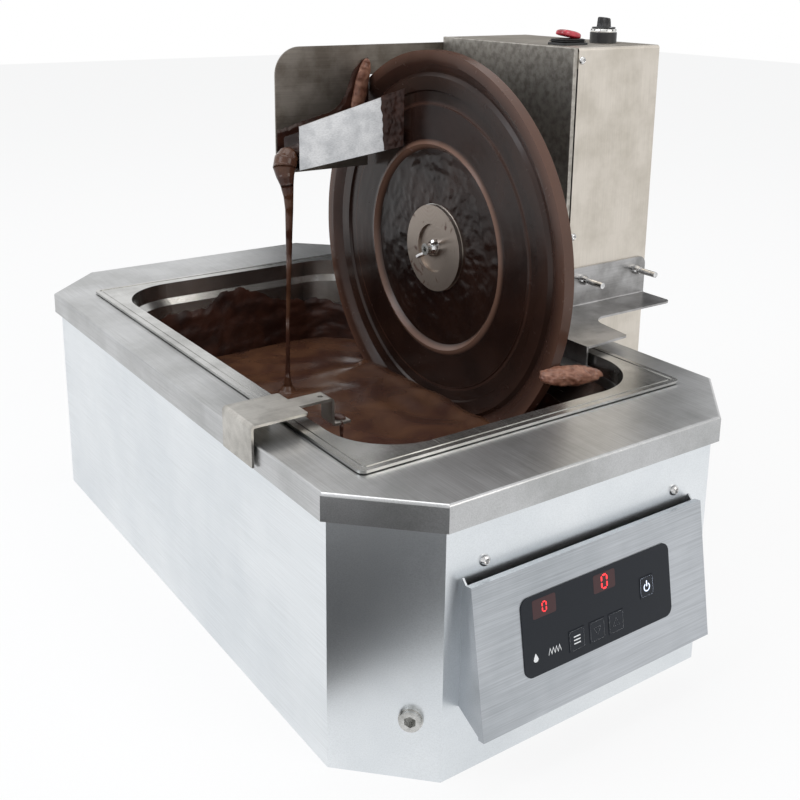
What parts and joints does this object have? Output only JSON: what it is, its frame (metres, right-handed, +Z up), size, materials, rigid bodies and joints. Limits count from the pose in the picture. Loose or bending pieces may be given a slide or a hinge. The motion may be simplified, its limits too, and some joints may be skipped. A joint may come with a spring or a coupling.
{
  "type": "chocolate tempering machine",
  "caption": "Counter-top wheel tempering machine: heated pan in a cut-corner steel body, turning disc with scraper and chute, and a drive tower with rocker switch and speed knob.",
  "frame": {"origin": "on the table, under the middle of the deck", "axes": "+Z up; +X to the right as one faces the control panel, towards the drive tower; +Y from the control panel to the back"},
  "size_m": [0.5195, 0.706, 0.5161],
  "materials": {
    "casing_steel": "brushed stainless steel sheet",
    "pan_steel": "pressed stainless steel, smooth",
    "galvanised_sheet": "plain sheet steel",
    "silicone": "silicone seal",
    "black_rubber": "black rubber",
    "black_plastic": "black nylon",
    "red_plastic": "translucent red",
    "overlay_film": "printed polyester film",
    "key_film": "printed polyester film",
    "display_red": "red display window",
    "circuit_board": "glass-fibre board",
    "fastener_steel": "bright zinc or stainless",
    "turned_steel": "turned steel",
    "gear_steel": "machined steel",
    "bronze": "sintered bronze",
    "cast_alloy": "cast alloy",
    "motor_paint": "black paint",
    "chocolate": "melted dark chocolate",
    "dial_silver": "silver dial"
  },
  "bodies": {
    "machine": {"deck_cover": "casing_steel", "body_shell": "casing_steel", "base_plate": "galvanised_sheet", "water_tank": "pan_steel", "heating_element": "turned_steel", "water_level_sensor": "turned_steel", "water_temperature_sensor": "turned_steel", "drain_pipe": "turned_steel", "drain_plug": "fastener_steel", "gn_pan": "pan_steel", "pan_seal": "silicone", "power_inlet": "black_plastic", "probe_socket": "fastener_steel", "control_box_shell": "casing_steel", "control_box_gasket": "black_rubber", "control_front_plate": "casing_steel", "membrane_overlay": "overlay_film", "led_displays": "display_red", "controller_board": "circuit_board", "panel_screws": "fastener_steel", "gear_motor": "motor_paint", "gearbox_housing": "cast_alloy", "gearbox_lid": "cast_alloy", "shaft_bushes": "bronze", "tower_left_panel": "casing_steel", "tower_cover": "casing_steel", "tower_floor_plate": "galvanised_sheet", "cover_screws": "fastener_steel", "tower_cable_gland": "black_plastic", "tower_hook": "casing_steel", "frame_screws": "fastener_steel", "tower_buffers": "black_rubber", "speed_control_board": "circuit_board", "rocker_boot": "black_rubber", "rocker_switch_body": "black_plastic", "dial_base": "black_plastic", "potentiometer": "turned_steel", "scraper_plate": "casing_steel", "chute": "casing_steel", "support_bracket": "casing_steel", "bracket_studs": "fastener_steel"},
    "wheel": {"tempering_wheel": "pan_steel", "wheel_hub": "turned_steel", "hub_washer": "turned_steel", "drive_shaft": "turned_steel", "output_gear": "gear_steel", "gear_key": "gear_steel"},
    "motor_rotor": {"motor_pinion": "gear_steel", "motor_shaft": "turned_steel"},
    "wheel_nut": {"wheel_wing_nut": "fastener_steel"},
    "speed_knob": {"speed_knob": "black_plastic"},
    "rocker": {"power_rocker": "red_plastic"},
    "clip": {"probe_clip": "casing_steel"},
    "left_nut": {"wing_nut_left": "fastener_steel"},
    "right_nut": {"wing_nut_right": "fastener_steel"},
    "program_key": {"key_program": "key_film"},
    "down_key": {"key_down": "key_film"},
    "up_key": {"key_up": "key_film"},
    "power_key": {"key_power": "key_film"}
  },
  "joints": [
    {"name": "wheel_spin", "type": "hinge", "parent": "machine", "child": "wheel", "pos_m": [0.105, 0.01, 0.28659], "axis": [1, 0, 0], "continuous": true},
    {"name": "motor_spin", "type": "hinge", "parent": "machine", "child": "motor_rotor", "pos_m": [0.203, 0.01, 0.34909], "axis": [1, 0, 0], "continuous": true},
    {"name": "wheel_nut_turn", "type": "hinge", "parent": "wheel", "child": "wheel_nut", "pos_m": [0.111, 0.01, 0.28659], "axis": [1, 0, 0], "continuous": true},
    {"name": "speed_turn", "type": "hinge", "parent": "machine", "child": "speed_knob", "pos_m": [0.289, -0.034, 0.48998], "axis": [0, 0, 1], "range_deg": [-150, 150]},
    {"name": "rocker_tilt", "type": "hinge", "parent": "machine", "child": "rocker", "pos_m": [0.232, -0.042, 0.49698], "axis": [0, -1, 0], "range_deg": [0, 20]},
    {"name": "clip_slide", "type": "slide", "parent": "machine", "child": "clip", "axis": [0, 1, 0], "range_m": [-0.04, 0.3]},
    {"name": "left_nut_turn", "type": "hinge", "parent": "machine", "child": "left_nut", "pos_m": [0.228, -0.084, 0.258], "axis": [0, -1, 0], "continuous": true},
    {"name": "right_nut_turn", "type": "hinge", "parent": "machine", "child": "right_nut", "pos_m": [0.304, -0.084, 0.258], "axis": [0, -1, 0], "continuous": true},
    {"name": "program_press", "type": "slide", "parent": "machine", "child": "program_key", "axis": [0, 0.9854, -0.1702], "range_m": [0, 0.00035], "stiffness_N_per_m": 300, "springref_m": -0.002},
    {"name": "down_press", "type": "slide", "parent": "machine", "child": "down_key", "axis": [0, 0.9854, -0.1702], "range_m": [0, 0.00035], "stiffness_N_per_m": 300, "springref_m": -0.002},
    {"name": "up_press", "type": "slide", "parent": "machine", "child": "up_key", "axis": [0, 0.9854, -0.1702], "range_m": [0, 0.00035], "stiffness_N_per_m": 300, "springref_m": -0.002},
    {"name": "power_press", "type": "slide", "parent": "machine", "child": "power_key", "axis": [0, 0.9854, -0.1702], "range_m": [0, 0.00035], "stiffness_N_per_m": 300, "springref_m": -0.002}
  ],
  "couplings": [
    {"joint": "motor_spin", "follows": "wheel_spin", "ratio": -2.5714}
  ]
}
